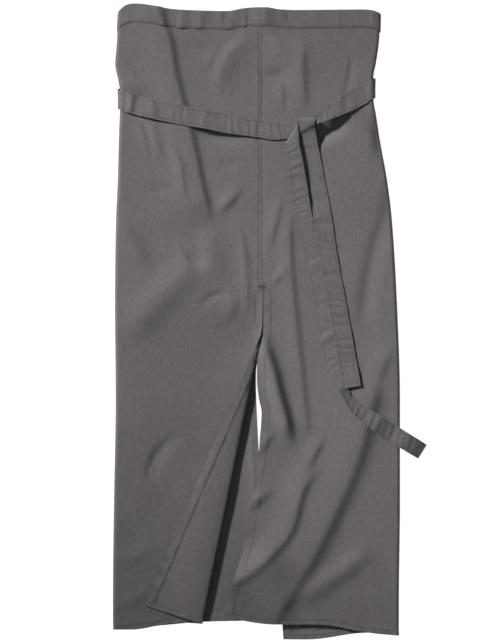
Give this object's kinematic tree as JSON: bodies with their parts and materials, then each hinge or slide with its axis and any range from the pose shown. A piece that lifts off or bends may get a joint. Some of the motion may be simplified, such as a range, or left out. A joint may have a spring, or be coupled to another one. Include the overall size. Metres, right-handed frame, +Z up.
{
  "type": "split-leg apron",
  "caption": "Long grey twill apron laid flat on its back: two hemmed panels split below the front seam, a waistband and ties wrapped round and knotted in front.",
  "frame": {"origin": "centre of the bounding box in plan, on the surface the apron lies on", "axes": "+Y from hem to waist, +X to the right as seen from above, +Z up from the surface it lies on"},
  "size_m": [0.4472, 0.9038, 0.0311],
  "materials": {
    "band_twill": "matte grey twill, two plies",
    "left_twill": "matte grey twill, hemmed",
    "right_twill": "matte grey twill, hemmed",
    "left_tie_twill": "matte grey twill, folded and stitched",
    "right_tie_twill": "matte grey twill, folded and stitched"
  },
  "bodies": {
    "root": {"waistband": "band_twill", "left_panel": "left_twill", "right_panel": "right_twill", "left_tie": "left_tie_twill", "right_tie": "right_tie_twill"}
  },
  "joints": []
}
